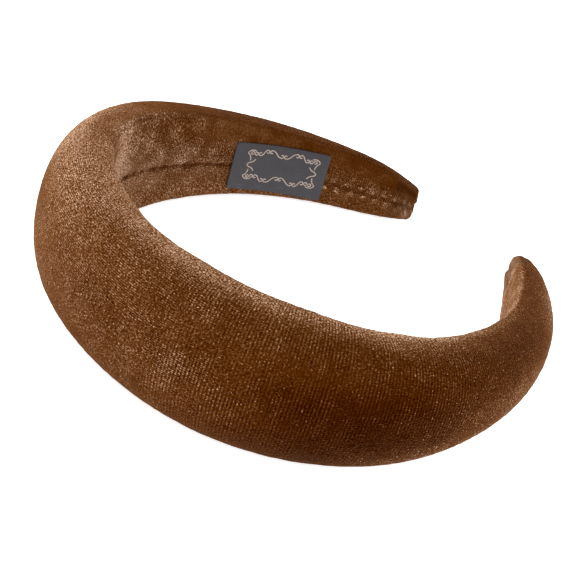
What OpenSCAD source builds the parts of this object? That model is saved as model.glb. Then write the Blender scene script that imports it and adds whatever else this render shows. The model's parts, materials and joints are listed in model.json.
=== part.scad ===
// Padded headband: a wide foam band in a velvet cover, lying on its side, with a small label inside.
// X runs from the crown to the tips, Y from one arm to the other, and Z is up.

/* [Hoop] */
// Inside width of the hoop at its widest
head_w = 124; // [112:1:150]
// Inside depth of the hoop, from the crown to the tips
head_d = 134.5; // [122:0.5:160]
// Distance from the crown to the widest place
widest_at = 56; // [50:1:64]
// Gap between the inner faces of the two tips
tip_gap = 45; // [35:1:70]
// Angle by which each arm turns in at its tip
tip_turn = 47; // [35:1:60]
// How far the label arm's tip lies below the middle of the band
label_tip_drop = 3.2; // [0:0.1:5]
// How far the plain arm's tip lies above the middle of the band
plain_tip_rise = 1; // [0:0.1:5]

/* [Padding] */
// Width of the band over the crown
band_w = 43; // [32:0.5:55]
// Width of the band at its tips
tip_w = 13.5; // [11:0.5:20]
// Thickness of the band over the crown
pad_h = 19; // [12:0.5:26]
// Thickness of the band at its tips
tip_h = 7; // [5:0.5:10]
// Height of the band's widest line above its inner face, over the crown
side_h = 7; // [4:0.5:9]
// How far the corner between the inner face and the side reaches in across the band
corner_w = 2.5; // [1:0.5:4]
// How far up the side that corner reaches
corner_h = 3.5; // [1:0.5:4]
// Fullness of the padded outside, where 1 is an oval and less is squarer
fullness = 0.92; // [0.7:0.01:1]
// Length over which each tip is rounded off
tip_round = 3.5; // [2:0.5:6]
// Depth of the gathered hollow in the end of each tip
tip_hollow = 1; // [0:0.1:2]
// Depth of the gathers that run over the end of each tip into that hollow
tip_gather = 0.4; // [0:0.1:0.8]

/* [Seam] */
// Width of the sewn furrow along the inner face
seam_w = 3; // [1.5:0.5:5]
// Depth of the furrow
seam_depth = 1; // [0.2:0.1:2]
// How far the furrow runs below the middle of the band, over the crown
seam_drop = 3; // [0:0.5:5]

/* [Label] */
// Length of the label along the band
label_len = 35; // [20:1:45]
// Width of the label across the band
label_w = 18; // [10:0.5:20]
// Thickness of the label
label_t = 0.5; // [0.3:0.1:1.5]
// Radius of the label's corners
label_corner_r = 1; // [0.5:0.1:3]
// Distance along the inner face from the crown to the label's middle
label_at = 132; // [70:1:150]
// How far the label's middle lies below the middle of the band
label_drop = 0.8; // [0:0.1:3]
// Angle at which the label is stuck on
label_turn = 2; // [-5:0.5:5]
// Gap between the label and the velvet
label_gap = 0.2; // [0.15:0.05:0.4]

/* [Hidden] */

// How the width and the thickness fall off, from the crown's size at share 1 to the tip's at share 0
// columns: share of the way from crown to tip, share of the width, share of the thickness
TAPER = [
    [0.00, 0.98, 1.00],
    [0.20, 1.00, 1.00],
    [0.40, 0.86, 0.92],
    [0.60, 0.56, 0.90],
    [0.80, 0.33, 0.66],
    [0.92, 0.21, 0.32],
    [1.00, 0.00, 0.00]];

// Each arm's bend from the widest place to the tip, as pulls that are shares of the distance between them
side_pull = 0.43;
tip_pull = 0.29;
// The tips leave the middle of the band slowly at first, by this power of the way along
lift_pow = 2.5;
// Share of the thickness at which the rounded ends shrink to their middle
mid_share = 0.42;
// Most of the side's height that the corner below it may take
corner_most = 0.9;
// Size of the last ring of a rounded end, as a share of the full section
end_share = 0.35;
// Stations on each arm and along the label, and shares of a rounded end where it has a ring
arm_steps = 32;
label_steps = 16;
END_STEPS = [0.35, 0.65, 0.85, 0.96, 1];
// Run along the route, each way, over which its direction is taken
aim_run = 1;
// Steepest dip tried when the band is laid down, and how often that range is halved
most_dip = 25;
dip_tries = 12;

// Value of one column of a table at t, on a smooth curve through its rows
function row_at(t, T, i = 0) = i >= len(T) - 2 || t < T[i + 1][0] ? i : row_at(t, T, i + 1);
function rise(T, c, i, j) = (T[j][c] - T[i][c]) / (T[j][0] - T[i][0]);
function slope(T, c, i) = i == 0 ? 0 : rise(T, c, i - 1, min(i + 1, len(T) - 1));
function smooth(t, T, c) =
    let (i = row_at(t, T), run = T[i + 1][0] - T[i][0], q = (t - T[i][0]) / run)
    let (r = 1 - q, a = T[i][c], b = T[i + 1][c])
    a * r * r * (1 + 2 * q) + b * q * q * (3 - 2 * q)
    + run * q * r * (slope(T, c, i) * r - slope(T, c, i + 1) * q);

// Route of the inner face along one arm: a quarter oval over the crown, then one long bend to the tip
side_at = [widest_at, head_w / 2];
tip_at = [head_d, tip_gap / 2];
reach = norm(tip_at - side_at);
side_aim = side_at + reach * side_pull * [1, 0];
tip_aim = tip_at - reach * tip_pull * [cos(tip_turn), -sin(tip_turn)];
function oval(a) = [side_at.x * (1 - cos(a)), side_at.y * sin(a)];
function bend(q) = let (r = 1 - q)
    r * r * r * side_at + 3 * r * r * q * side_aim + 3 * r * q * q * tip_aim + q * q * q * tip_at;
route = concat([for (a = [0:2:88]) oval(a)], [for (i = [0:45]) bend(i / 45)]);
function step(i) = i < len(route) - 1 ? norm(route[i + 1] - route[i]) : 0;
walked = [for (i = 0, s = 0; i < len(route); s = s + step(i), i = i + 1) s];
arm_len = walked[len(route) - 1];
ROUTE_X = [for (i = [0:len(route) - 1]) [walked[i], route[i].x]];
ROUTE_Y = [for (i = [0:len(route) - 1]) [walked[i], route[i].y]];

// Place at distance s along the inner face, below zero on the plain arm, and the way out from the head there
function at(s) = [lookup(abs(s), ROUTE_X), sign(s) * lookup(abs(s), ROUTE_Y)];
function out(s) = let (d = at(s + aim_run) - at(s - aim_run)) [-d.y, d.x] / norm(d);
function lift(s) = pow(abs(s) / arm_len, lift_pow) * (s > 0 ? -label_tip_drop : plain_tip_rise);
// Point at distance s, n up across the band and r out from the inner face
function spot(s, n, r) = let (p = at(s) + r * out(s)) [p.x, p.y, n + lift(s)];

// Half width and thickness at distance s
function half_w(s) = (tip_w + (band_w - tip_w) * smooth(abs(s) / arm_len, TAPER, 1)) / 2;
function thick(s) = tip_h + (pad_h - tip_h) * smooth(abs(s) / arm_len, TAPER, 2);

// Outline of the band's section as [n, r]: the padded outside, the two corners and the furrow between them
function full(x) = sign(x) * pow(abs(x), fullness);
function section(s) =
    let (a = half_w(s), h = thick(s), e = side_h * h / pad_h)
    let (c = min(corner_w, a / 2), d = min(corner_h, e * corner_most))
    let (k = 2 * a / band_w, m = -seam_drop * k, f = min(seam_w / 2, a / 4))
    concat(
        [for (p = [0:10:180]) [a * full(cos(p)), e + (h - e) * full(sin(p))]],
        [for (p = [0:22.5:90]) [-a + c - c * cos(p), d - d * sin(p)]],
        [[m - f, 0], [m, min(seam_depth, h / 5)], [m + f, 0]],
        [for (p = [90:-22.5:0]) [a - c + c * cos(p), d - d * sin(p)]]);

// A ring of points at distance s, shrunk to the middle of the section by share k, every other one by g more
function ring(s, k = 1, g = 0) = let (mid = mid_share * thick(s), list = section(s))
    [for (j = [0:len(list) - 1]) let (p = list[j], c = k - g * (j % 2))
        spot(s, p[0] * c, mid + (p[1] - mid) * c)];
function end_size(q) = end_share + (1 - end_share) * sqrt(1 - q * q);
flat_len = arm_len - tip_round;
function end_gather(q) = q * tip_gather * 2 / tip_w;
function end_rings(side, steps) =
    [for (q = steps) ring(side * (flat_len + q * tip_round), end_size(q), end_gather(q))];
function turned(list) = [for (i = [len(list) - 1:-1:0]) list[i]];
rings = concat(
    end_rings(-1, turned(END_STEPS)),
    [for (i = [-arm_steps:arm_steps]) ring(i / arm_steps * flat_len)],
    end_rings(1, END_STEPS));
function end_mid(side) = let (s = side * arm_len) spot(s - side * tip_hollow, 0, mid_share * thick(s));

// Closed skin over the rings, with a fan of faces over each end
per = len(rings[0]);
last = len(rings) - 1;
points = concat([for (r = rings, p = r) p], [end_mid(-1), end_mid(1)]);
function id(i, j) = i * per + j % per;
faces = concat(
    [for (i = [0:last - 1], j = [0:per - 1]) [id(i, j), id(i, j + 1), id(i + 1, j)]],
    [for (i = [0:last - 1], j = [0:per - 1]) [id(i, j + 1), id(i + 1, j + 1), id(i + 1, j)]],
    [for (j = [0:per - 1]) [len(points) - 2, id(0, j + 1), id(0, j)]],
    [for (j = [0:per - 1]) [len(points) - 1, id(last, j), id(last, j + 1)]]);

// Centre of mass of the skin's inside
function total(list) = list * [for (x = list) 1];
function corner_sum(f) = points[f[0]] + points[f[1]] + points[f[2]];
function wedge(f) = cross(points[f[0]], points[f[1]]) * points[f[2]];
wedges = [for (f = faces) wedge(f)];
function middle(axis) = total([for (i = [0:len(faces) - 1]) wedges[i] * corner_sum(faces[i])[axis]])
    / total(wedges) / 4;
mass_at = [middle(0), middle(1), middle(2)];

// The band lies on its edge and dips at the tips until its lowest point is under its centre of mass
function dip(p, a) = [p.x * cos(a) + p.z * sin(a), p.y, p.z * cos(a) - p.x * sin(a)];
function lowest(a) = min([for (p = points) dip(p, a).z]);
function touch_x(a) = let (z = lowest(a)) [for (p = points) let (d = dip(p, a)) if (d.z <= z) d.x][0];
function settle(low, high, n) = let (a = (low + high) / 2)
    n == 0 ? a : touch_x(a) > dip(mass_at, a).x ? settle(low, a, n - 1) : settle(a, high, n - 1);
rest_dip = settle(0, most_dip, dip_tries);
lying = [for (p = points) dip(p, rest_dip)];
function span(axis) = let (v = [for (p = lying) p[axis]]) [min(v), max(v)];
function centre(v) = (v[0] + v[1]) / 2;
function origin() = [centre(span(0)), centre(span(1)), span(2)[0]];

module lying_down() {
    translate(-origin())
        rotate([0, rest_dip, 0])
            children();
}

// Half the label's width at x from its middle, with its corners rounded
function label_half(x) = let (d = max(0, abs(x) - label_len / 2 + label_corner_r))
    label_w / 2 - label_corner_r + sqrt(max(0, label_corner_r * label_corner_r - d * d));
// Point of the label at x along it and y across it, r out from the inner face
function label_spot(x, y, r) =
    spot(label_at + x * cos(label_turn) - y * sin(label_turn),
        y * cos(label_turn) + x * sin(label_turn) - label_drop, r);
label_edge = label_len / 2 - label_corner_r;
label_xs = concat(
    [for (a = [-90:22.5:-22.5]) -label_edge + label_corner_r * sin(a)],
    [for (i = [0:label_steps]) label_edge * (2 * i / label_steps - 1)],
    [for (a = [22.5:22.5:90]) label_edge + label_corner_r * sin(a)]);
label_points = [for (x = label_xs, c = [[-1, 0], [1, 0], [1, 1], [-1, 1]])
    label_spot(x, c[0] * label_half(x), -label_gap - c[1] * label_t)];
label_last = len(label_xs) - 1;
function label_id(i, j) = i * 4 + j % 4;
label_faces = concat(
    [for (i = [0:label_last - 1], j = [0:3]) [label_id(i, j), label_id(i + 1, j), label_id(i, j + 1)]],
    [for (i = [0:label_last - 1], j = [0:3]) [label_id(i, j + 1), label_id(i + 1, j), label_id(i + 1, j + 1)]],
    [[0, 1, 2, 3]],
    [[for (j = [3:-1:0]) label_id(label_last, j)]]);

// Velvet-covered padded band
module padded_band() {
    color("#6f4222")
        lying_down()
            polyhedron(points, faces);
}

// Label stuck over the seam
module label() {
    color("#47454a")
        lying_down()
            polyhedron(label_points, label_faces);
}

padded_band();
label();
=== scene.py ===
"""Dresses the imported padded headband: velvet cover, sewn seam, label, floor, lights and camera."""

import json
import math

import bpy
import numpy as np
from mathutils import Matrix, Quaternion, Vector, noise


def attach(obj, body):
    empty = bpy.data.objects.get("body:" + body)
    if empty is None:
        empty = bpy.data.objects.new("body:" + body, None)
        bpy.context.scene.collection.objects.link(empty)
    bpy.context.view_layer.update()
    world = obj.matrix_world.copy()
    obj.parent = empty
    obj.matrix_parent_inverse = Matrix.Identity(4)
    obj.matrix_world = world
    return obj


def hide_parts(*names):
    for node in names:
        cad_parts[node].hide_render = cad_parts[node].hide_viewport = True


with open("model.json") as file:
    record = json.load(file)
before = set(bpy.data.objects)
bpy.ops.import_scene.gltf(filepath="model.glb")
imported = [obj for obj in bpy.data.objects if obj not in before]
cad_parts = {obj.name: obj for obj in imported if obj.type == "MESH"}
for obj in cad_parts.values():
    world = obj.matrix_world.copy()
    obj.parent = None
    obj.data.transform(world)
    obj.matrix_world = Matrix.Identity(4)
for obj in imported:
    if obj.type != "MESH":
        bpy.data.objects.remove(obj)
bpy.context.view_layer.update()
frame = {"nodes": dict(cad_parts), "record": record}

bl_info = {
    "name": "Padded Headband",
    "version": (1, 0, 0),
    "blender": (4, 5, 0),
    "location": "3D View > Sidebar > Headband",
    "description": "Velvet cover, seam, label and studio of a padded headband",
    "category": "Object",
}

CROWN = frame["record"]["mounts"][0]["pos_m"]
MM = 0.001

NAP_SHEEN_SHADE_AT = {
    "plain_tip": -165, "plain_arm": -120, "plain_side": -70, "plain_bend": -25,
    "label_bend": 25, "label_side": 55, "label_arm": 110, "label_tip": 165,
}


def length(name, description, millimetres):
    """A property for a length, whose default is given in millimetres."""
    return bpy.props.FloatProperty(
        name=name, description=description, default=millimetres * MM, min=0.0,
        precision=5, unit="LENGTH", subtype="DISTANCE")


def angle(name, description, degrees):
    """A property for an angle, whose default is given in degrees."""
    return bpy.props.FloatProperty(
        name=name, description=description, default=math.radians(degrees), unit="ROTATION", subtype="ANGLE")


def share(name, description, value, high=1.0):
    """A property for a plain number."""
    return bpy.props.FloatProperty(name=name, description=description, default=value, min=0.0, max=high)


def spot(name, description, place):
    """A property for a place, in metres."""
    return bpy.props.FloatVectorProperty(
        name=name, description=description, default=place, size=3, unit="LENGTH", subtype="TRANSLATION")


# Each value holds how light the pile looks at one place: partly its brushed nap, partly painted sheen and
# shade.
def nap_sheen_shade(name, four):
    """A property for the pile at one of the places in NAP_SHEEN_SHADE_AT, in millimetres towards the label."""
    at = NAP_SHEEN_SHADE_AT[name.lower().replace(" ", "_")]
    where = "outside, on the upper roll, on the upper inner edge and inside"
    return bpy.props.FloatVectorProperty(
        name=name, description=f"Pile {where}, {at} mm from the crown's middle",
        default=four, size=4, min=0.0, max=1.2)


def paint(name, description, rgb):
    """A property for a colour, in linear light."""
    return bpy.props.FloatVectorProperty(
        name=name, description=description, default=rgb, size=3, min=0.0, max=1.0, subtype="COLOR")


class HeadbandHoop(bpy.types.PropertyGroup):
    """Line of the band's inner face, as the solids have it"""

    head_width: length("Head width", "Inside width of the hoop at its widest", 124)
    head_depth: length("Head depth", "Inside depth from the crown to the tips", 134.5)
    widest_at: length("Widest at", "Distance from the crown to the widest place", 56)
    tip_gap: length("Tip gap", "Gap between the inner faces of the tips", 45)
    tip_turn: angle("Tip turn", "Angle by which each arm turns in at its tip", 47)
    side_pull: share("Side pull", "Pull of the widest place on the arm's bend", 0.43)
    tip_pull: share("Tip pull", "Pull of the tip on the arm's bend", 0.29)
    label_tip_drop: length("Label tip drop", "How far the label arm's tip hangs", 3.2)
    plain_tip_rise: length("Plain tip rise", "How far the plain arm's tip rises", 1)
    lift_pow: share("Lift power", "How late along the arm that starts", 2.5, 6.0)
    rest_dip: angle("Rest dip", "Angle at which the band lies towards its tips", 4.538)
    seam_drop: length("Seam drop", "How far the seam runs below the middle over the crown", 3)


class HeadbandVelvet(bpy.types.PropertyGroup):
    """Padding, pile and colours of the velvet"""

    sewn_width: length("Sewn width", "Width of the strip along the seam that the foam can't push out", 4)
    pressure: share("Pressure", "Push of the foam on the cover", 4.0, 20.0)
    most_move: length("Most move", "How far the foam may push a point of the cover", 0.8)
    crumple: length("Crumple", "Height of the loose folds inside, most of all above the seam", 0.4)
    crumple_size: length("Crumple size", "Distance between those folds across the band", 4.5)
    crumple_stretch: share("Crumple stretch", "How many times longer they are along it", 2.5, 6.0)
    crease: length("Crease", "Depth of the thin fold inside, under the crown's upper edge", 0.2)
    crease_in: length("Crease in", "Distance of that fold from the edge", 1.5)
    crease_reach: length("Crease reach", "How far from the crown's middle it runs", 86)
    blotch: share("Blotch", "How far the nap changes from patch to patch inside", 0.18)
    blotch_size: length("Blotch size", "Distance between those patches", 4)
    fine_inside: share("Fine inside", "How much smoother the pile looks inside, below the seam", 0.35)
    smooth_roll: share("Smooth roll", "How much evener it looks on the upper roll", 0.25)
    smooth_arm: share("Smooth arm", "How much evener it is along the label arm's upper edge", 0.7)
    smooth_tip: share("Smooth tip", "How much evener it is inside the plain arm's tip", 0.5)
    coarse_below: share("Coarse below", "How much rougher it is under the plain arm", 1.3)
    coarse_tip: share("Coarse tip", "How much rougher it is outside, out along the plain arm", 0.5)
    crush: length("Crush", "Height of the crushed pile", 0.12)
    crush_size: length("Crush size", "Distance between crushed places", 1.3)
    fuzz: length("Fuzz", "Height of the pile's rough edge", 0.1)
    # The colours from Deepest to Glint carry painted sheen: darker where the pile faces the eye, Tips a
    # painted highlight and Glint painted glints.
    deepest: paint("Deepest", "Roots of the pile", (0.010, 0.0009, 0.0))
    dark: paint("Dark", "Pile that leans towards the eye", (0.028, 0.0043, 0.0))
    middle: paint("Middle", "Pile that stands up", (0.062, 0.0156, 0.001))
    light: paint("Light", "Pile that leans away", (0.135, 0.053, 0.0165))
    glint: paint("Glint", "Brightest tips of the pile", (0.66, 0.45, 0.31))
    tips: paint("Tips", "Pile that catches the light", (0.37, 0.215, 0.13))


class HeadbandNapSheenShade(bpy.types.PropertyGroup):
    """How light the pile looks, partly from the way it was brushed and partly as painted sheen and shade:
    0.25 is dark and 0.75 light
    """

    plain_tip: nap_sheen_shade("Plain tip", (0.665, 0.9, 0.43, 0.765))
    plain_arm: nap_sheen_shade("Plain arm", (0.585, 0.385, 0.39, 0.735))
    plain_side: nap_sheen_shade("Plain side", (0.20, 0.47, 0.675, 0.83))
    plain_bend: nap_sheen_shade("Plain bend", (0.55, 0.575, 0.76, 0.80))
    label_bend: nap_sheen_shade("Label bend", (0.56, 0.725, 0.71, 0.78))
    label_side: nap_sheen_shade("Label side", (0.50, 0.85, 0.68, 0.69))
    label_arm: nap_sheen_shade("Label arm", (0.44, 0.27, 0.36, 0.63))
    label_tip: nap_sheen_shade("Label tip", (0.46, 0.27, 0.33, 0.55))
    # Lower roll is painted shade on the underside; Lower arm is painted sheen on it towards the plain arm's
    # tip.
    lower: share("Lower roll", "How much darker the lower roll is than the outside", 0.12)
    lower_arm: share("Lower arm", "How much lighter it gets towards the plain arm's tip", 0.27)
    # These two darken the inner face: near its upper edge before the label, and above the seam beyond it.
    upper_inside_darker: share("Darkening", "How much darker the inner face is near its upper edge, before the label", 0.12)
    above_seam_darker: share("Lean beyond", "How much darker it is above the seam, from the label to the tip", 0.02)
    low_inside: share("Low inside", "How much lighter the inner face is below the seam", 0.04)
    # Corner is a painted highlight: painted sheen inside, where the crown turns into each arm.
    corner: share("Corner", "How much lighter the inner face is where the crown turns into an arm", 0.28)
    # Crease shade is painted shade in the thin fold, with painted light on its lips.
    crease_shade: share("Crease shade", "How much darker the pile is in the thin fold inside", 0.08)
    # Rim is a painted highlight of the sheen along the plain arm's upper inner rim.
    rim: share("Rim", "How much lighter the plain arm's upper inner rim is", 0.21)
    # Ridge is a painted highlight on the upper inner corner by the plain arm's tip.
    ridge: share("Ridge", "How much lighter the upper inner corner is by the plain arm's tip", 0.1)
    corner_at: length("Corner at", "Distance of that turn from the crown's middle", 60)
    corner_reach: length("Corner reach", "How far that light pile runs", 7)


class HeadbandSeam(bpy.types.PropertyGroup):
    """Sewn seam along the inner face"""

    width: length("Width", "Width of the furrow that the thread pulls in", 2)
    depth: length("Depth", "Depth of that furrow", 0.5)
    pitch: length("Stitch pitch", "Distance from one stitch to the next", 2)
    pucker: length("Pucker", "Height of the puckers between stitches", 0.22)
    reach: length("Reach", "How far the puckers run out from the seam", 2.4)
    thread: length("Thread", "Thickness of the thread", 0.3)
    thread_sink: length("Thread sink", "How deep the thread lies in the furrow", 0.6)
    stitch_length: length("Stitch length", "Length of one stitch across the furrow", 1.5)
    slant: angle("Slant", "Slant of the stitches", 25)
    thread_paint: paint("Thread colour", "Colour of the thread", (0.09, 0.03, 0.008))
    # Shade is painted shade in the furrow.
    shade: share("Shade", "How much darker the pile is in the furrow", 0.18)
    shade_width: length("Shade width", "Width of that darker strip", 1.5)
    # Gleam is a painted highlight on the puckers beside the seam.
    gleam: share("Gleam", "How much lighter the pile is on the puckers", 0.32)
    gleam_off: length("Gleam off", "Distance of the lit puckers from the seam", 1.6)
    tip_pleat: length("Tip pleat", "Height of the gathers round each tip", 0.15)
    tip_pleats: share("Tip pleats", "Number of gathers round each tip", 11, 30)
    tip_reach: length("Tip reach", "How far those gathers run back from the tip", 8)
    tip_fill: length("Tip fill", "How far the foam fills the seam's furrow out near each tip", 0.7)
    tip_full: length("Tip full", "How far the corners of the label arm's tip are filled out", 0.7)
    plain_tip_full: length("Plain tip full", "How far the plain arm's upper corners are filled out", 0.3)
    plain_tip_low: length("Plain tip low", "How far the plain arm's lower corner is drawn in", 0.7)
    plain_tip_middle: length("Plain tip middle", "How far the plain arm's end stands out", 0.7)
    tip_flat: length("Tip flat", "How far the very end of each tip is pressed in", 0.4)
    tip_square: length("Tip square", "How far each tip's sides are pressed flat and its corners out", 0.4)
    # Tip gleam is a painted highlight by each end.
    tip_gleam: share("Tip gleam", "How much lighter the pile is by the end, below the slit", 0.14)
    # Tip shade is painted shade in the slit.
    tip_shade: share("Tip shade", "How much darker the pile is in the slit", 0.3)
    tip_slit: length("Tip slit", "Depth of the fold sewn shut in the end", 0.3)


class HeadbandLabel(bpy.types.PropertyGroup):
    """Small label stuck over the seam"""

    along: length("Along", "Distance from the crown to the label's middle", 132)
    drop: length("Drop", "How far its middle lies below the band's middle", 0.8)
    turn: angle("Turn", "Angle at which it is stuck on", 2)
    width: length("Width", "Length of the label along the band", 35)
    height: length("Height", "Width of the label across the band", 18)
    corner: length("Corner", "Radius of its corners", 1)
    thickness: length("Thickness", "Thickness of the label", 0.5)
    gap: length("Gap", "Gap between the label and the velvet", 0.2)
    line: length("Line", "Width of the printed line", 0.42)
    face: paint("Face", "Colour of the label", (0.041, 0.039, 0.044))
    print_ink: paint("Print", "Colour of the printed scrolls", (0.40, 0.33, 0.29))
    frame_width: length("Frame width", "Length of the printed frame of scrolls", 27)
    frame_height: length("Frame height", "Width of the printed frame of scrolls", 12.4)
    frame_shift: length("Frame shift", "How far the frame lies right of and above the label's middle", 0.9)
    ink_proud: length("Ink", "Thickness of the printed line", 0.03)


class HeadbandStage(bpy.types.PropertyGroup):
    """Floor, lights and camera"""

    azimuth: angle("Azimuth", "Direction that the camera looks in, from +Y towards -X", -45.9)
    elevation: angle("Elevation", "Angle of the camera above the floor", 33)
    roll: angle("Roll", "Tilt of the camera about its own axis", 15.4)
    distance: length("Distance", "Distance from the camera to the point that it aims at", 380)
    lens: bpy.props.FloatProperty(name="Lens", description="Focal length in millimetres", default=77.5)
    aim: spot("Aim", "Point that the camera aims at", (-0.0023, -0.0007, 0.0083))
    floor_paint: paint("Floor", "Colour of the floor", (0.93, 0.93, 0.93))
    floor_glow: share("Floor glow", "Light that the table gives from below", 0.72, 2.0)
    daylight: share("Daylight", "Strength of the even light all round", 1.05, 5.0)
    key: share("Key", "Power of the main light in watts", 4.0, 100.0)
    key_at: spot("Key at", "Place of the main light", (-0.16, 0.62, 0.38))
    key_size: length("Key size", "Side of the main light", 350)
    fill: share("Fill", "Power of the weaker light in watts", 2.0, 100.0)
    fill_at: spot("Fill at", "Place of the weaker light", (-0.30, -0.6, 0.6))
    fill_size: length("Fill size", "Side of the weaker light", 600)


def settings(name):
    """The scene's sizes and colours of that group."""
    return getattr(bpy.context.scene, "headband_" + name)


def only(piece):
    """Deselects everything, then selects piece and makes it active."""
    bpy.ops.object.select_all(action="DESELECT")
    piece.select_set(True)
    bpy.context.view_layer.objects.active = piece


def points_of(piece, what="co"):
    """The piece's vertices as an array, or with "normal" their normals."""
    values = np.empty(len(piece.data.vertices) * 3)
    piece.data.vertices.foreach_get(what, values)
    return values.reshape(-1, 3)


def corners_of(piece):
    """The vertex at each corner of the piece's faces, as an array."""
    corner = np.empty(len(piece.data.loops), dtype=int)
    piece.data.loops.foreach_get("vertex_index", corner)
    return corner


def move_points(piece, co):
    """Writes new places for the piece's vertices."""
    piece.data.vertices.foreach_set("co", co.ravel())
    piece.data.update()


def spread_on(piece, name, values):
    """Adds an attribute with one value for each of the piece's vertices."""
    piece.data.attributes.new(name, "FLOAT", "POINT").data.foreach_set("value", values)


def map_on(piece, name, uv):
    """Adds a UV map with one place for each corner of the piece's faces."""
    piece.data.uv_layers.new(name=name).data.foreach_set("uv", uv.ravel())


def apply_all(piece):
    """Applies every modifier of the piece, in order."""
    only(piece)
    for modifier in list(piece.modifiers):
        bpy.ops.object.modifier_apply(modifier=modifier.name)


def eased(x, low, high):
    """0 below low, 1 above high and a smooth rise between."""
    t = np.clip((x - low) / (high - low), 0, 1)
    return t * t * (3 - 2 * t)


def rise(x, low, high):
    """0 where the length x is below low millimetres, 1 above high millimetres and smooth between."""
    return eased(x, low * MM, high * MM)


def fall(x, low, high):
    """1 where the length x is below low millimetres, 0 above high millimetres and smooth between."""
    return 1 - rise(x, low, high)


def hill(x, middle, reach):
    """1 at the middle, falling smoothly on both sides to nearly 0 at twice the reach."""
    return np.exp(-((x - middle) / reach) ** 2)


def mottle(co, size, shift=0.0):
    """Smooth noise from -1 to 1 at each point, with waves about size long."""
    at = (co + shift) / size
    return np.array([noise.noise(p, noise_basis="PERLIN_ORIGINAL") for p in at])


def curve(start, away, back, end, count):
    """Points of a smooth curve that leaves start towards away and reaches end from back."""
    q = np.linspace(0, 1, count)[:, None]
    p = 1 - q
    return p ** 3 * start + 3 * p * p * q * away + 3 * p * q * q * back + q ** 3 * end


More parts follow.
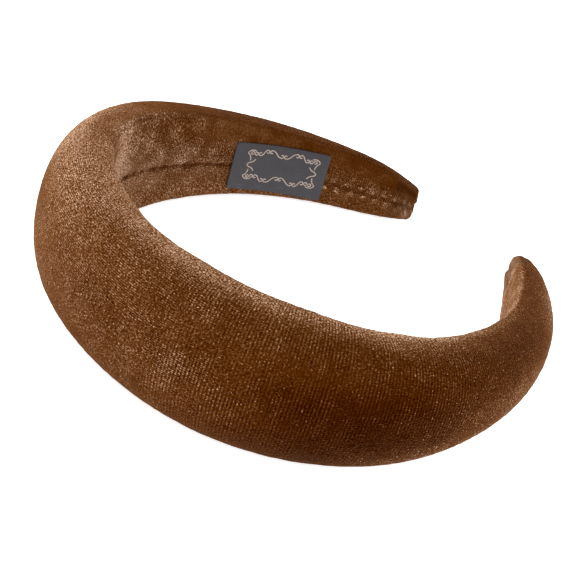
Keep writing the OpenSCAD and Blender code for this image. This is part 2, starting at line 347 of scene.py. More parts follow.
class BandMap:
    """Where points lie on the band: s along it from the crown, n across it and r out from its inner face.

    CORE is the share of the thickness at which the line lies that angles round the band are measured from.
    """

    STEP = 0.5 * MM
    LINE_POINTS = 90
    TURNS = 96
    CORE = 0.42
    RING_GAP = 2 * MM
    RING_POINTS = 20

    def __init__(self):
        self.hoop = hoop = settings("hoop")
        self.dip = math.cos(hoop.rest_dip), math.sin(hoop.rest_dip)
        side = np.array([hoop.widest_at, hoop.head_width / 2])
        tip = np.array([hoop.head_depth, hoop.tip_gap / 2])
        reach = np.linalg.norm(tip - side)
        side_aim = side + reach * hoop.side_pull * np.array([1, 0])
        turned = np.array([math.cos(hoop.tip_turn), -math.sin(hoop.tip_turn)])
        tip_aim = tip - reach * hoop.tip_pull * turned
        a = np.linspace(0, math.pi / 2, self.LINE_POINTS)[:-1, None]
        oval = side * np.concatenate([1 - np.cos(a), np.sin(a)], 1)
        line = np.concatenate([oval, curve(side, side_aim, tip_aim, tip, self.LINE_POINTS)])
        walked = np.concatenate([[0], np.cumsum(np.linalg.norm(np.diff(line, axis=0), axis=1))])
        self.arm = walked[-1]
        half = np.arange(0, self.arm, self.STEP)
        x = np.interp(half, walked, line[:, 0])
        y = np.interp(half, walked, line[:, 1])
        self.s = np.concatenate([-half[:0:-1], half])
        self.xy = np.stack([np.concatenate([x[:0:-1], x]), np.concatenate([-y[:0:-1], y])], 1)
        run = np.gradient(self.xy, axis=0)
        self.run = run / np.linalg.norm(run, axis=1)[:, None]
        self.out = np.stack([-self.run[:, 1], self.run[:, 0]], 1)
        self.read_sections(frame["nodes"]["padded_band"])

    def lift(self, s):
        """How far the band's middle has left the hoop's middle at s."""
        rise = np.where(s > 0, -self.hoop.label_tip_drop, self.hoop.plain_tip_rise)
        return (np.abs(s) / self.arm) ** self.hoop.lift_pow * rise

    def measure(self, co):
        """s, n and r of points of the frame."""
        c, d = self.dip
        q = co - np.array(CROWN)
        flat = np.stack([q[:, 0] * c - q[:, 2] * d, q[:, 1]], 1)
        z = q[:, 0] * d + q[:, 2] * c
        nearest = np.concatenate([
            np.argmin(((part[:, None] - self.xy[None]) ** 2).sum(2), axis=1)
            for part in np.array_split(flat, max(1, len(flat) // 4000))])
        off = flat - self.xy[nearest]
        s = self.s[nearest] + (off * self.run[nearest]).sum(1)
        return s, z - self.lift(s), (off * self.out[nearest]).sum(1)

    def place(self, s, n, r):
        """Points of the frame at s, n and r."""
        x = np.interp(s, self.s, self.xy[:, 0]) + r * np.interp(s, self.s, self.out[:, 0])
        y = np.interp(s, self.s, self.xy[:, 1]) + r * np.interp(s, self.s, self.out[:, 1])
        z = n + self.lift(s)
        c, d = self.dip
        return np.stack([x * c + z * d, y, z * c - x * d], 1) + np.array(CROWN)

    def read_sections(self, solid):
        """Reads the solid's rings: half width, thickness, and the way round from the outside to the seam."""
        s, n, r = self.measure(np.unique(points_of(solid).round(7), axis=0))
        order = np.argsort(s)
        cuts = np.nonzero(np.diff(s[order]) > self.RING_GAP)[0] + 1
        rings = [g for g in np.split(order, cuts) if len(g) > self.RING_POINTS]
        self.turns = np.linspace(-1.2 * math.pi, 1.2 * math.pi, self.TURNS + 1)
        self.ring_s = np.array([s[g].mean() for g in rings])
        self.half_w = np.array([np.abs(n[g]).max() for g in rings])
        self.thick = np.array([r[g].max() for g in rings])
        self.way_round = []
        for g, thick in zip(rings, self.thick):
            turn = np.arctan2(n[g], r[g] - self.CORE * thick)
            o = np.argsort(turn)
            ring = np.stack([n[g][o], r[g][o]], 1)
            steps = np.linalg.norm(np.diff(ring, axis=0, append=ring[:1]), axis=1)
            walked = np.concatenate([[0], np.cumsum(steps)])
            turn = np.concatenate([turn[o] - 2 * math.pi, turn[o], turn[o] + 2 * math.pi])
            walked = np.concatenate([walked[:-1] - walked[-1], walked[:-1], walked[:-1] + walked[-1]])
            self.way_round.append(np.interp(self.turns, turn, walked) - np.interp(0, turn, walked))
        self.way_round = np.array(self.way_round)

    def wide(self, s):
        """Half width of the band at s."""
        return np.interp(s, self.ring_s, self.half_w)

    def turn(self, s, n, r):
        """Angle round the band's middle: 0 outside, a quarter turn at the top and half a turn inside."""
        return np.arctan2(n, r - self.CORE * np.interp(s, self.ring_s, self.thick))

    def way(self, s, turn):
        """Way round the band at that angle from the middle of its outside, below zero on its lower half."""
        column = (turn - self.turns[0]) / (self.turns[1] - self.turns[0])
        left = np.clip(column.astype(int), 0, self.TURNS - 1)
        row = np.interp(s, self.ring_s, np.arange(len(self.ring_s)))
        low = np.clip(row.astype(int), 0, len(self.ring_s) - 2)
        f, g = row - low, column - left
        w = self.way_round
        return ((1 - f) * ((1 - g) * w[low, left] + g * w[low, left + 1])
                + f * ((1 - g) * w[low + 1, left] + g * w[low + 1, left + 1]))

    def seam(self, s):
        """n of the seam at s, with a hand-sewn wander."""
        wander = 0.25 * MM * (np.sin(s / (9 * MM)) + np.sin(s / (5.3 * MM) + 1))
        return -self.hoop.seam_drop * self.wide(s) / self.wide(0) + wander


def tree_of(name, piece):
    """A new material on the piece. Returns its node tree and its Principled BSDF."""
    material = bpy.data.materials.new(name)
    material.use_nodes = True
    piece.data.materials.clear()
    piece.data.materials.append(material)
    return material.node_tree, material.node_tree.nodes["Principled BSDF"]


def feed(node, inputs):
    """Links the node's inputs to sockets, or sets them to values."""
    for key, value in inputs.items():
        if isinstance(value, bpy.types.NodeSocket):
            node.id_data.links.new(value, node.inputs[key])
        else:
            node.inputs[key].default_value = value


def add(tree, kind, inputs=None, **traits):
    """Adds a node, sets its traits and feeds its inputs."""
    made = tree.nodes.new(kind)
    for key, value in traits.items():
        setattr(made, key, value)
    feed(made, inputs or {})
    return made


def ramp(value, stops):
    """A colour ramp of the socket value, with stops as place and colour or grey."""
    made = add(value.id_data, "ShaderNodeValToRGB", {"Fac": value})
    made.color_ramp.interpolation = "EASE"
    elements = made.color_ramp.elements
    while len(elements) < len(stops):
        elements.new(0.5)
    for element, (place, colour) in zip(elements, stops):
        element.position = place
        element.color = (*colour, 1) if hasattr(colour, "__len__") else (colour, colour, colour, 1)
    return made.outputs["Color"]


def maths(how, a, b=0.0):
    """The result of a maths node on the socket a and the number or socket b."""
    return add(a.id_data, "ShaderNodeMath", {0: a, 1: b}, operation=how).outputs[0]


def times(a, b):
    """The product of the socket a and the number or socket b."""
    return maths("MULTIPLY", a, b)


def plus(a, b):
    """The sum of the socket a and the number or socket b."""
    return maths("ADD", a, b)


def bumpy(height, strength, distance):
    """The normal of a surface that stands out by distance where height is 1."""
    inputs = {"Height": height, "Strength": strength, "Distance": distance}
    return add(height.id_data, "ShaderNodeBump", inputs).outputs[0]


def grain_group():
    """The node group that puts out a grain: noise with waves of a given size, stretched along each axis."""
    name = "Cloth Grain"
    if name in bpy.data.node_groups:
        return bpy.data.node_groups[name]
    group = bpy.data.node_groups.new(name, "ShaderNodeTree")
    for label, kind, value in (
            ("Vector", "NodeSocketVector", (0, 0, 0)), ("Size", "NodeSocketFloat", 1 * MM),
            ("Stretch", "NodeSocketVector", (1, 1, 1)), ("Detail", "NodeSocketFloat", 2.0),
            ("Distortion", "NodeSocketFloat", 0.0)):
        group.interface.new_socket(name=label, in_out="INPUT", socket_type=kind).default_value = value
    group.interface.new_socket(name="Grain", in_out="OUTPUT", socket_type="NodeSocketFloat")
    given = group.nodes.new("NodeGroupInput").outputs
    put_out = group.nodes.new("NodeGroupOutput")
    wave = add(
        group, "ShaderNodeVectorMath", {0: given["Stretch"], "Scale": given["Size"]}, operation="SCALE")
    spread = add(
        group, "ShaderNodeVectorMath", {0: given["Vector"], 1: wave.outputs[0]}, operation="DIVIDE")
    waves = add(group, "ShaderNodeTexNoise", {
        "Vector": spread.outputs[0], "Scale": 1.0, "Detail": given["Detail"],
        "Distortion": given["Distortion"]})
    feed(put_out, {"Grain": waves.outputs["Fac"]})
    return group


def grain(vector, size, detail=2.0, distortion=0.0, stretch=(1, 1, 1)):
    """A grain from 0 to 1 with waves about size long, stretched by the given factors."""
    placed = add(vector.id_data, "ShaderNodeGroup", node_tree=grain_group())
    feed(placed, {
        "Vector": vector, "Size": size, "Stretch": stretch, "Detail": detail, "Distortion": distortion})
    return placed.outputs["Grain"]


def knit(way, pitch, waver):
    """Even waves of the given pitch along one direction of the cloth, from -1 to 1."""
    return maths("SINE", plus(times(way, 2 * math.pi / pitch), waver))


def velvet_material(piece, looks):
    """Crushed velvet: worms of lit and shaded pile, ribs of the knit, painted glints, and changes where the
    nap leans, which also carry painted sheen and shade.
    """
    tree, shader = tree_of("velvet", piece)
    place = add(tree, "ShaderNodeTexCoord").outputs["Object"]
    cloth = add(tree, "ShaderNodeUVMap", uv_map="cloth").outputs["UV"]
    # The nap attribute is the pile's crushed patches together with painted sheen, highlights and shade.
    nap = add(tree, "ShaderNodeAttribute", attribute_name="nap").outputs["Fac"]
    worms = grain(cloth, 0.36 * MM, distortion=0.6, stretch=(1.25, 1, 1))
    tufts = grain(cloth, 0.6 * MM, detail=1.0, distortion=0.5)
    broad = grain(place, 12 * MM)
    small = grain(place, 4.5 * MM)
    parted = grain(place, 9 * MM, detail=1.0)
    sparks = grain(place, 0.4 * MM, detail=0.0, distortion=0.3)
    split = add(tree, "ShaderNodeSeparateXYZ", {0: cloth}).outputs
    waver = times(tufts, 1.8)
    along = maths("DIVIDE", maths("ABSOLUTE", split[0]), 150 * MM)
    over_crown = ramp(along, [(0.17, 1.0), (0.33, 0.0)])
    on_arms = ramp(along, [(0.08, 0.0), (0.21, 1.0), (0.5, 1.0), (0.8, 0.4)])
    ribs = times(knit(split[1], 0.6 * MM, waver), over_crown)
    courses = times(knit(split[0], 0.75 * MM, waver), on_arms)
    rib = times(plus(ribs, courses), ramp(parted, [(0.38, 0.08), (0.6, 0.2)]))
    rib = times(rib, ramp(worms, [(0.36, 0.3), (0.6, 1.0)]))
    speckle = plus(times(worms, 0.65), times(tufts, 0.35))
    coarse = add(tree, "ShaderNodeAttribute", attribute_name="coarse").outputs["Fac"]
    lit = maths("POWER", maths("MINIMUM", nap, 0.82), 3.0)
    rough = plus(times(lit, 7.8), 0.8)
    spread = times(maths("SUBTRACT", speckle, 0.5), rough)
    patches = times(maths("SUBTRACT", plus(broad, small), 0.96), 0.2)
    # Painted glints: bright specks of the pile's sheen put into the colour.
    glints = ramp(sparks, [(0.68, 0.0), (0.78, 0.36)])
    fine = plus(spread, plus(rib, glints))
    tone = plus(plus(nap, patches), times(fine, coarse))
    # The nap, with its painted sheen and shade, picks the colour, up to painted highlights in Tips and
    # painted glints in Glint.
    pile = ramp(times(tone, 0.8), [
        (0.0, looks.deepest), (0.2, looks.dark), (0.4, looks.middle), (0.6, looks.light), (0.8, looks.tips),
        (1.0, looks.glint)])
    feed(shader, {
        "Base Color": pile,
        "Sheen Weight": 0.3,
        "Sheen Roughness": 0.22,
        "Sheen Tint": (1.0, 0.5, 0.24, 1),
        "Specular IOR Level": 0.0,
        "Roughness": ramp(worms, [(0.35, 0.9), (0.7, 0.7)]),
        "Normal": bumpy(speckle, 1.0, 0.6 * MM),
    })


def thread_material(piece, looks):
    """Twisted brown thread."""
    tree, shader = tree_of("thread", piece)
    place = add(tree, "ShaderNodeTexCoord").outputs["Object"]
    twist = grain(place, 0.15 * MM, detail=1.0)
    dark = tuple(0.5 * value for value in looks.thread_paint)
    feed(shader, {
        "Base Color": ramp(twist, [(0.35, dark), (0.65, looks.thread_paint)]),
        "Roughness": 0.8,
        "Specular IOR Level": 0.1,
        "Normal": bumpy(twist, 0.5, 0.1 * MM),
    })


def label_material(piece, looks):
    """Smooth dark imitation leather with a fine grain and a few faint scuffs."""
    tree, shader = tree_of("label_face", piece)
    flat = add(tree, "ShaderNodeUVMap", uv_map="flat").outputs["UV"]
    pores = grain(flat, 0.35 * MM)
    cloudy = grain(flat, 5 * MM)
    scuffs = grain(flat, 1 * MM, distortion=0.4, stretch=(5, 0.5, 1))
    shade = plus(times(pores, 0.5), times(cloudy, 0.5))
    dark, worn = (tuple(k * value for value in looks.face) for k in (0.82, 1.18))
    base = ramp(shade, [(0.3, dark), (0.5, looks.face), (0.72, worn)])
    up = add(tree, "ShaderNodeSeparateXYZ", {0: flat}).outputs[1]
    worn_edge = ramp(maths("DIVIDE", up, -10 * MM), [(0.6, 0.25), (0.8, 1.0)])
    scuffed = times(ramp(scuffs, [(0.58, 0.0), (0.74, 0.6)]), worn_edge)
    pale = (*(3.0 * value for value in looks.face), 1)
    blend = add(tree, "ShaderNodeMix", {0: scuffed, 6: base, 7: pale}, data_type="RGBA")
    feed(shader, {
        "Base Color": blend.outputs[2],
        "Roughness": ramp(pores, [(0.3, 0.62), (0.7, 0.5)]),
        "Specular IOR Level": 0.25,
        "Normal": bumpy(pores, 0.4, 0.1 * MM),
    })


def print_material(piece, looks):
    """Pale ink that the leather's pores break up."""
    tree, shader = tree_of("label_print", piece)
    place = add(tree, "ShaderNodeTexCoord").outputs["Object"]
    pores = grain(place, 0.3 * MM)
    thin = tuple(0.55 * value for value in looks.print_ink)
    feed(shader, {
        "Base Color": ramp(pores, [(0.35, thin), (0.5, looks.print_ink)]),
        "Roughness": 0.6,
        "Specular IOR Level": 0.25,
    })


def on_label(x, y):
    """s and n of a point at x along the label and y across it, from its middle."""
    label = settings("label")
    c, d = math.cos(label.turn), math.sin(label.turn)
    return label.along + x * c - y * d, y * c + x * d - label.drop


def under_label(s, n):
    """1 where the label covers the band, falling to 0 close round it."""
    label = settings("label")
    round_it = 1.5 * MM
    beside = 1 - eased(np.abs(s - label.along), label.width / 2, label.width / 2 + round_it)
    return beside * (1 - eased(np.abs(n + label.drop), label.height / 2, label.height / 2 + round_it))


def seam_beat(co, s):
    """1 midway between two stitches and -1 at a stitch, with a little unevenness."""
    return np.cos(2 * math.pi * s / settings("seam").pitch + 1.5 * mottle(co, 6 * MM))


class HEADBAND_OT_velvet_band(bpy.types.Operator):
    """Pads the band, sews its seam and gives it a velvet pile"""

    bl_idname = "headband.velvet_band"
    bl_label = "Velvet Band"

    def execute(self, context):
        hoop = BandMap()
        velvet = settings("velvet")
        band = bpy.data.objects.new("velvet_band", frame["nodes"]["padded_band"].data.copy())
        context.scene.collection.objects.link(band)
        self.start_padding(band)
        self.pad(band, hoop, velvet)
        swell = band.modifiers.new("Smooth", "SUBSURF")
        swell.levels = swell.render_levels = 2
        apply_all(band)
        s, n, r = hoop.measure(points_of(band))
        self.map_cloth(band, hoop, s, n, r)
        self.paint_nap_sheen_shade(band, hoop, s, n, r)
        self.sew(band, hoop, s, n, r)
        only(band)
        bpy.ops.object.shade_smooth()
        velvet_material(band, velvet)
        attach(band, "root")
        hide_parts("padded_band")
        return {"FINISHED"}

    def start_padding(self, band):
        """Merges the copied solid into one skin of four-sided faces."""
        only(band)
        bpy.ops.object.mode_set(mode="EDIT")
        bpy.ops.mesh.select_all(action="SELECT")
        bpy.ops.mesh.remove_doubles(threshold=0.01 * MM)
        most = math.radians(60)
        bpy.ops.mesh.tris_convert_to_quads(face_threshold=most, shape_threshold=most)
        bpy.ops.mesh.normals_make_consistent(inside=False)
        bpy.ops.object.mode_set(mode="OBJECT")

    def pad(self, band, hoop, velvet):
        """Lets the foam push the cover out between the seam and the edges."""
        start = points_of(band)
        s, n, r = hoop.measure(start)
        face = 1 * MM
        held = (np.abs(n - hoop.seam(s)) < velvet.sewn_width / 2) & (r < face)
        group = band.vertex_groups.new(name="sewn")
        group.add([int(i) for i in np.nonzero(held)[0]], 1.0, "REPLACE")
        cloth = band.modifiers.new("Padding", "CLOTH")
        cloth.settings.effector_weights.gravity = 0
        cloth.settings.use_pressure = True
        cloth.settings.uniform_pressure_force = velvet.pressure
        cloth.settings.vertex_group_mass = "sewn"
        last_frame = 20
        for step in range(1, last_frame + 1):
            bpy.context.scene.frame_set(step)
        apply_all(band)
        moved = points_of(band) - start
        far = np.maximum(np.linalg.norm(moved, axis=1), 1e-9)
        move_points(band, start + moved * np.minimum(1, velvet.most_move / far)[:, None])

    def map_cloth(self, band, hoop, s, n, r):
        """Maps the cloth in metres, along the band and round it from the middle of its outside."""
        corner = corners_of(band)
        first = np.empty(len(band.data.polygons), dtype=int)
        band.data.polygons.foreach_get("loop_start", first)
        seam_turn = hoop.turn(s, hoop.seam(s), np.zeros(len(s)))
        past_seam = np.mod(hoop.turn(s, n, r) - seam_turn, 2 * math.pi)[corner]
        sides = np.diff(first, append=len(corner))
        most = np.repeat(np.maximum.reduceat(past_seam, first), sides)
        mean = np.repeat(np.add.reduceat(past_seam, first) / sides, sides)
        split = most - np.repeat(np.minimum.reduceat(past_seam, first), sides) > math.pi
        past_seam += 2 * math.pi * (split & (past_seam < math.pi) & (mean >= math.pi))
        past_seam -= 2 * math.pi * (split & (past_seam > math.pi) & (mean < math.pi))
        round_it = hoop.way(s[corner], past_seam + seam_turn[corner])
        map_on(band, "cloth", np.stack([s[corner], round_it], 1))

    def nap_sheen_shade_along(self, nap, s):
        """How light the pile is at s, partly painted sheen and shade: outside, on the upper roll, on the
        upper inner edge and inside.
        """
        stops = np.array(list(NAP_SHEEN_SHADE_AT.values())) * MM
        strokes = np.array([getattr(nap, name) for name in NAP_SHEEN_SHADE_AT])
        place = np.interp(s, stops, range(len(stops)))
        whole = np.minimum(place.astype(int), len(stops) - 2)
        part = eased(place - whole, 0, 1)[:, None]
        return (strokes[whole] * (1 - part) + strokes[whole + 1] * part).T

    def paint_nap_sheen_shade(self, band, hoop, s, n, r):
        """Stores how light and how coarse the pile looks at each point; the lightness is partly the pile's
        own patches and partly painted sheen, highlights and shade.
        """
        nap = settings("nap")
        seam = settings("seam")
        velvet = settings("velvet")
        co = points_of(band)
        up = n / hoop.wide(s)
        off = n - hoop.seam(s)
        away = np.abs(s)
        to_end = hoop.arm - away
        below = eased(-up, 0.2, 0.9)
        to_tip = rise(-s, 58, 80)
        inside = fall(r, 0.3, 1.8 + 2 * rise(s, 60, 90))
        low = rise(-off, 0, 2)
        # Listed lightness outside, on the roll, on the edge and inside: partly brushed nap, partly painted
        # sheen and shade.
        side, roll, edge, inner = self.nap_sheen_shade_along(nap, s)
        # Painted shade on the lower roll, lifted by painted sheen towards the plain arm's tip.
        light = side + (roll - side) * eased(up, 0.15, 0.85) + (nap.lower_arm * to_tip - nap.lower) * below
        light += (edge - light) * eased(up, 0.5, 0.78) * fall(r, 4.5, 13.5)
        # Painted highlight of the sheen along the plain arm's upper inner rim.
        rim = nap.rim * eased(up, 0.5, 0.8) * fall(r, 2.5, 5.5)
        light += rim * rise(-s, 45, 75) * fall(-s, 115, 150)
        # Painted highlight of the sheen inside, where the crown turns into each arm.
        inner = inner + nap.corner * hill(away, nap.corner_at, nap.corner_reach)
        # Darker inner face near its upper edge before the label, and above the seam beyond it.
        inner -= nap.upper_inside_darker * eased(up, 0.35, 0.75) * rise(s, 25, 60) * fall(s, 70, 95)
        inner -= nap.above_seam_darker * rise(off, 0, 4) * rise(s, 105, 140)
        light += (inner - light) * inside
        # Painted shade in the thin fold inside, and painted light on its two lips.
        light -= nap.crease_shade * inside * self.fold(hoop, s, n)
        blotch = velvet.blotch * (0.35 + 0.65 * rise(off, 0, 3))
        blotch *= 1 - 0.6 * rise(s, 95, 125)
        blotch *= 1 - 0.7 * hill(away, nap.corner_at, 10 * MM)
        light += blotch * inside * mottle(co, velvet.blotch_size, 2.0)
        light += nap.low_inside * inside * low
        # Painted shade in the seam's furrow, uneven and fainter out along the arms.
        uneven = 0.7 + 1.3 * mottle(co, 1.8 * MM, 3.0)
        faint = 1 - 0.75 * rise(away, 110, 150)
        light -= seam.shade * faint * inside * uneven * hill(off, 0, seam.shade_width / 2)
        # Painted highlights on the puckers beside the seam.
        lit = hill(np.abs(off), seam.gleam_off, 0.9 * MM) * (0.3 + 0.7 * rise(s, 100, 150))
        light += seam.gleam * inside * lit * np.maximum(seam_beat(co, s + 0.4 * off), 0) ** 2
        # Painted highlight inside by each end, below the slit.
        at_end = hill(to_end, 2.5 * MM, 1.5 * MM) * fall(n, -1, 1)
        light += seam.tip_gleam * inside * at_end
        # Painted shade in the slit at the label arm's end.
        slit = self.slit(n, to_end, 0.8 * MM)
        light -= seam.tip_shade * (s > 0) * slit * rise(r, 0.5, 2)
        # Painted highlight on the upper inner corner by the plain arm's tip.
        ridge = hill(r, 1 * MM, 0.8 * MM) * eased(up, 0.65, 0.9)
        light += nap.ridge * ridge * rise(-s, 115, 145)
        # The nap attribute holds the pile's patches together with all the painted sheen, highlights and
        # shade above.
        spread_on(band, "nap", light)
        coarse = 1 - velvet.fine_inside * inside * low + velvet.coarse_below * below * to_tip
        coarse += velvet.coarse_tip * (1 - inside) * rise(-s, 55, 105)
        coarse *= 1 - velvet.smooth_roll * (1 - inside) * eased(up, 0.2, 0.6)
        coarse *= 1 - velvet.smooth_arm * rise(s, 70, 115) * eased(up, 0.2, 0.7)
        coarse *= 1 - velvet.smooth_tip * inside * rise(-s, 120, 150)
        spread_on(band, "coarse", coarse)

    def fold(self, hoop, s, n):
        """1 in the thin fold inside, below 0 on its two lips and 0 elsewhere."""
        velvet = settings("velvet")
        down = hoop.wide(s) - n - velvet.crease_in
        lips = hill(np.abs(down), 0.8 * MM, 0.35 * MM)
        out = np.abs(s) / velvet.crease_reach
        return eased(out, 0.5, 0.6) * (1 - eased(out, 0.88, 1)) * (hill(down, 0, 0.4 * MM) - 0.7 * lips)

    def slit(self, n, to_end, reach):
        """1 where each end is sewn shut, falling to 0 across it and in from the end."""
        return hill(n, -1 * MM, reach) * fall(to_end, 0.3, 2.5)

    def sew(self, band, hoop, s, n, r):
        """Draws in the seam, gathers the cloth along it and at the tips, and roughens the pile."""
        velvet = settings("velvet")
        seam = settings("seam")
        co = points_of(band)
        inside = fall(r, 0.6, 2.6)
        off = n - hoop.seam(s)
        to_end = hoop.arm - np.abs(s)
        lumps = mottle(np.stack([s / velvet.crumple_stretch, n, r], 1), velvet.crumple_size)
        above = rise(off, 0, 2)
        even = 1 - 0.7 * rise(-s, 115, 150)
        height = velvet.crumple * inside * (0.25 + 0.75 * above) * lumps * even
        beat = seam_beat(co, s)
        pulled = np.exp(-np.abs(off) / seam.reach)
        ruffled = np.where(s > 0, 1, rise(to_end, 3, 9))
        height += seam.pucker * inside * pulled * beat * ruffled
        deep = seam.depth * (0.2 + 0.8 * rise(to_end, 12, 45))
        height -= deep * inside * hill(off, 0, seam.width / 2) * (0.8 - 0.2 * beat)
        turn = hoop.turn(s, n, r)
        pleat = seam.tip_pleat * np.where(s > 0, 1, 0.3 * rise(to_end, 0, 2.5))
        height += pleat * (1 - eased(to_end, 0, seam.tip_reach)) * np.cos(seam.tip_pleats * turn)
        filled = hill(off, 0, np.where(s > 0, 3 * MM, 1.5 * MM)) * fall(to_end, 12, 40)
        height += seam.tip_fill * inside * filled * np.where(s > 0, rise(to_end, 0.5, 3), 1)
        full = np.where(s > 0, seam.tip_full, seam.plain_tip_full * rise(n, -2, 2))
        height += full * hill(to_end, 1.2 * MM, np.where(s > 0, 0.9 * MM, 1.8 * MM))
        corner = rise(-n, 0, 4.5) * fall(to_end, 4, 20)
        height -= seam.plain_tip_low * (s < 0) * corner
        middle = hill(n, -1 * MM, 2.5 * MM) * fall(to_end, 0, 4)
        height += seam.plain_tip_middle * (s < 0) * middle
        height -= seam.tip_flat * fall(to_end, 0, 0.8)
        square = seam.tip_square * np.where(s > 0, 1, rise(to_end, 0, 2.5))
        height -= square * np.cos(4 * turn) * fall(to_end, 4, 16)
        slit = self.slit(n, to_end, 0.6 * MM)
        height -= seam.tip_slit * (s > 0) * slit * rise(r, 1, 3)
        height -= velvet.crease * inside * self.fold(hoop, s, n)
        height *= 1 - under_label(s, n)
        height += velvet.crush * mottle(co, velvet.crush_size)
        height += velvet.fuzz * mottle(co, 0.45 * MM, 1.0)
        co += points_of(band, "normal") * height[:, None]
        co[:, 2] = np.maximum(co[:, 2], 0)
        move_points(band, co)


class HEADBAND_OT_seam_stitches(bpy.types.Operator):
    """Sews the thread across the furrow, stitch by stitch"""

    bl_idname = "headband.seam_stitches"
    bl_label = "Seam Stitches"

    def execute(self, context):
        hoop = BandMap()
        seam = settings("seam")
        bpy.ops.object.select_all(action="DESELECT")
        bpy.ops.mesh.primitive_uv_sphere_add(segments=8, ring_count=6, radius=seam.thread / 2)
        stitch = context.object
        stitch.name = "seam_stitches"
        shape = points_of(stitch)
        shape[:, 0] *= 1 + (seam.stitch_length / seam.thread - 1) * (shape[:, 0] != 0)
        bowed = seam.thread * (2 * shape[:, 0] / seam.stitch_length) ** 2
        along, across, deep = shape[:, 1], shape[:, 0], shape[:, 2] + bowed
        c, d = math.cos(seam.slant), math.sin(seam.slant)
        count = int(2 * (hoop.arm - seam.tip_reach / 2) / seam.pitch)
        stops = (np.arange(count) - (count - 1) / 2) * seam.pitch
        stops = stops[under_label(stops, hoop.seam(stops)) < 1]
        only(stitch)
        bpy.ops.object.mode_set(mode="EDIT")
        bpy.ops.mesh.select_all(action="SELECT")
        for _ in stops[1:]:
            bpy.ops.mesh.duplicate()
        bpy.ops.object.mode_set(mode="OBJECT")
        stray = (0.12 * MM, 0.15 * MM)
        by_hand = np.random.default_rng(seed=5).normal(0, 1, (len(stops), 2)) * stray
        places = []
        for at, (dx, dy) in zip(stops, by_hand):
            s = at + dx + along * c + across * d
            n = hoop.seam(at) + dy + across * c - along * d
            places.append(hoop.place(s, n, seam.thread_sink + deep))
        move_points(stitch, np.concatenate(places))
        bpy.ops.object.shade_smooth()
        thread_material(stitch, seam)
        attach(stitch, "root")
        return {"FINISHED"}


class HEADBAND_OT_label(bpy.types.Operator):
    """Cuts the label, rounds its corners and bends it on to the inner face"""

    bl_idname = "headband.label"
    bl_label = "Label"

    def execute(self, context):
        hoop = BandMap()
        looks = settings("label")
        bpy.ops.object.select_all(action="DESELECT")
        bpy.ops.mesh.primitive_plane_add(size=looks.height)
        label = context.object
        label.name = "label_patch"
        bpy.ops.object.mode_set(mode="EDIT")
        bpy.ops.transform.resize(value=(looks.width / looks.height, 1, 1))
        bpy.ops.mesh.bevel(offset=looks.corner, offset_type="OFFSET", segments=4, affect="VERTICES")
        for cut in np.linspace(-0.48, 0.48, 25):
            bpy.ops.mesh.select_all(action="SELECT")
            bpy.ops.mesh.bisect(plane_co=(cut * looks.width, 0, 0), plane_no=(1, 0, 0))
        bpy.ops.object.mode_set(mode="OBJECT")
        board = label.modifiers.new("Board", "SOLIDIFY")
        board.thickness = looks.thickness
        board.offset = 1
        soft = label.modifiers.new("Soft edge", "BEVEL")
        soft.width = 0.12 * MM
        soft.segments = 2
        soft.angle_limit = math.radians(50)
        apply_all(label)
        co = points_of(label)
        map_on(label, "flat", co[corners_of(label), :2])
        s, n = on_label(co[:, 0], co[:, 1])
        move_points(label, hoop.place(s, n, -looks.gap - co[:, 2]))
        bpy.ops.object.shade_smooth_by_angle(angle=math.radians(40))
        label_material(label, looks)
        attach(label, "root")
        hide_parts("label")
        return {"FINISHED"}


class HEADBAND_OT_label_scrolls(bpy.types.Operator):
    """Prints the frame of scrolls on the label, and leaves its middle bare"""

    bl_idname = "headband.label_scrolls"
    bl_label = "Label Scrolls"

    def execute(self, context):
        hoop = BandMap()
        looks = settings("label")
        line = bpy.data.curves.new("label_scrolls", "CURVE")
        line.dimensions = "3D"
        line.bevel_depth = looks.line / 2
        line.bevel_resolution = 1
        line.use_fill_caps = True
        for strip in self.quarter(looks):
            for mirror in ((1, 1), (-1, 1), (1, -1), (-1, -1)):
                points = strip * mirror
                spline = line.splines.new("POLY")
                spline.points.add(len(points) - 1)
                flat = np.concatenate([points, np.zeros((len(points), 1)), np.ones((len(points), 1))], 1)
                spline.points.foreach_set("co", flat.ravel())
        scrolls = bpy.data.objects.new("label_scrolls", line)
        context.scene.collection.objects.link(scrolls)
        only(scrolls)
        bpy.ops.object.convert(target="MESH")
        scrolls = context.object
        co = points_of(scrolls)
        s, n = on_label(co[:, 0] + looks.frame_shift, co[:, 1] + looks.frame_shift)
        proud = looks.thickness + co[:, 2] * looks.ink_proud / (looks.line / 2)
        move_points(scrolls, hoop.place(s, n, -looks.gap - proud))
        bpy.ops.object.shade_smooth()
        print_material(scrolls, looks)
        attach(scrolls, "root")
        return {"FINISHED"}

    def quarter(self, looks):
        """The lines in the upper right quarter of the frame, from its middle."""
        right, top = looks.frame_width / 2, looks.frame_height / 2
        low = top - 2.4 * MM
        first, second, third = 0.0, 5.5 * MM, 9.5 * MM
        corner = (right, top - 1.8 * MM)
        yield scroll((first, low), (second, top), 0.75 * MM)
        yield scroll((third, low), (second, top), 0.75 * MM)
        yield scroll((third, low), (right - 1.1 * MM, top - 1.1 * MM), 0.7 * MM)
        yield bow((right - 3.1 * MM, top - 0.9 * MM), (right - 1.0 * MM, top + 0.1 * MM), corner)
        yield bow(corner, (right - 1.4 * MM, top - 2.5 * MM), (right - 1.5 * MM, top - 4.5 * MM))
        yield bow((right - 3.4 * MM, 2.3 * MM), (right - 2.9 * MM, 1.2 * MM), (right - 1.7 * MM, 0.9 * MM))
        yield bow((right - 1.7 * MM, 0.9 * MM), (right - 0.8 * MM, 0.6 * MM), (right - 0.6 * MM, 0.0))


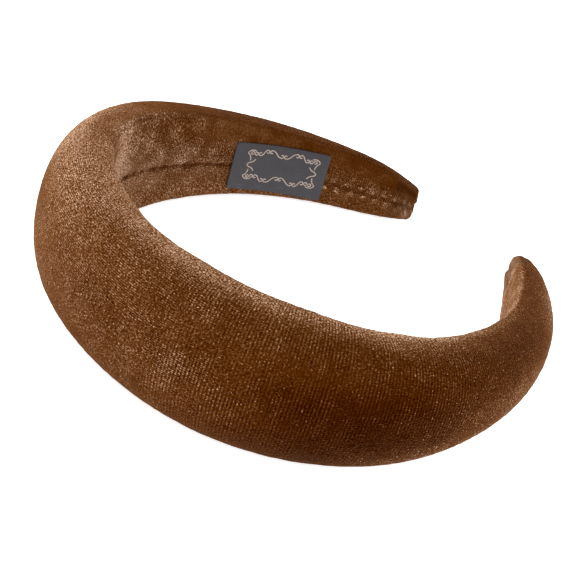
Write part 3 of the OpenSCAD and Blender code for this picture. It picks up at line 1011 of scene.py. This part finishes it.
def scroll(low, high, curl):
    """A scroll that rises from low to high and curls in at both ends, as an array of points in a plane."""
    low, high = np.array(low), np.array(high)
    way = np.where(high > low, 1, -1)
    turn = np.linspace(0, math.radians(250), 14)
    tight = curl * (1 - 0.62 * turn / turn[-1])
    bend = way * np.stack([curl - tight * np.sin(turn), curl - tight * np.cos(turn)], 1)
    foot, head = low + bend, high - bend
    pull = np.array([0.5 * (head[0] - foot[0])[0], 0])
    slope = curve(foot[0], foot[0] + pull, head[0] - pull, head[0], 14)[1:-1]
    return np.concatenate([foot[::-1], slope, head])


def bow(start, through, end):
    """A short bent line past three points, as an array of points in a plane."""
    q = np.linspace(0, 1, 12)[:, None]
    start, through, end = (np.array(point) for point in (start, through, end))
    return (1 - q) ** 2 * start + 2 * q * (1 - q) * through + q * q * end


class HEADBAND_OT_stage(bpy.types.Operator):
    """Sets out the floor, the soft lights and the camera"""

    bl_idname = "headband.stage"
    bl_label = "Stage"

    def execute(self, context):
        stage = settings("stage")
        bpy.ops.object.select_all(action="DESELECT")
        bpy.ops.mesh.primitive_plane_add(size=8)
        floor = context.object
        floor.name = "floor"
        shader = tree_of("floor", floor)[1]
        feed(shader, {
            "Base Color": (*stage.floor_paint, 1), "Roughness": 0.9, "Specular IOR Level": 0.1,
            "Emission Color": (1, 1, 1, 1), "Emission Strength": stage.floor_glow})
        world = bpy.data.worlds.new("daylight")
        context.scene.world = world
        world.use_nodes = True
        feed(world.node_tree.nodes["Background"], {"Strength": stage.daylight, "Color": (1, 1, 1, 1)})
        self.lamp(stage, "key", stage.key_at, stage.key_size, stage.key)
        self.lamp(stage, "fill", stage.fill_at, stage.fill_size, stage.fill)
        context.scene.view_settings.view_transform = "Standard"
        self.camera(context, stage)
        return {"FINISHED"}

    def lamp(self, stage, name, place, size, power):
        """A soft square lamp that shines on the band."""
        bpy.ops.object.light_add(type="AREA", location=place)
        lamp = bpy.context.object
        lamp.name = name
        lamp.rotation_euler = (Vector(stage.aim) - Vector(place)).to_track_quat("-Z", "Y").to_euler()
        lamp.data.size = size
        lamp.data.energy = power

    def camera(self, context, stage):
        """The camera at the photograph's angle."""
        a, e = stage.azimuth, stage.elevation
        ahead = Vector((-math.sin(a) * math.cos(e), math.cos(a) * math.cos(e), -math.sin(e)))
        bpy.ops.object.camera_add(location=Vector(stage.aim) - ahead * stage.distance)
        camera = context.object
        camera.rotation_mode = "QUATERNION"
        camera.rotation_quaternion = ahead.to_track_quat("-Z", "Y") @ Quaternion((0, 0, 1), stage.roll)
        camera.data.lens = stage.lens
        camera.data.sensor_width = 36
        camera.data.clip_start = 0.01
        context.scene.camera = camera


class HEADBAND_PT_panel(bpy.types.Panel):
    """Sizes, colours and steps of the headband"""

    bl_idname = "HEADBAND_PT_panel"
    bl_label = "Padded Headband"
    bl_space_type = "VIEW_3D"
    bl_region_type = "UI"
    bl_category = "Headband"

    def draw(self, context):
        for name, group in GROUPS.items():
            box = self.layout.box()
            box.label(text=name.replace("headband_", "").title())
            for key in group.__annotations__:
                box.prop(getattr(context.scene, name), key)
        for step in STEPS:
            self.layout.operator(step.bl_idname)


GROUPS = {
    "headband_hoop": HeadbandHoop,
    "headband_velvet": HeadbandVelvet,
    "headband_nap": HeadbandNapSheenShade,
    "headband_seam": HeadbandSeam,
    "headband_label": HeadbandLabel,
    "headband_stage": HeadbandStage,
}
STEPS = (
    HEADBAND_OT_velvet_band, HEADBAND_OT_seam_stitches, HEADBAND_OT_label, HEADBAND_OT_label_scrolls,
    HEADBAND_OT_stage)


def register():
    for kind in (*GROUPS.values(), *STEPS, HEADBAND_PT_panel):
        bpy.utils.register_class(kind)
    for name, group in GROUPS.items():
        setattr(bpy.types.Scene, name, bpy.props.PointerProperty(type=group))


def unregister():
    for name in GROUPS:
        delattr(bpy.types.Scene, name)
    for kind in reversed((*GROUPS.values(), *STEPS, HEADBAND_PT_panel)):
        bpy.utils.unregister_class(kind)


def main():
    """Registers the add-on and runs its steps."""
    register()
    bpy.ops.headband.velvet_band()
    bpy.ops.headband.seam_stitches()
    bpy.ops.headband.label()
    bpy.ops.headband.label_scrolls()
    bpy.ops.headband.stage()


if __name__ == "__main__":
    main()
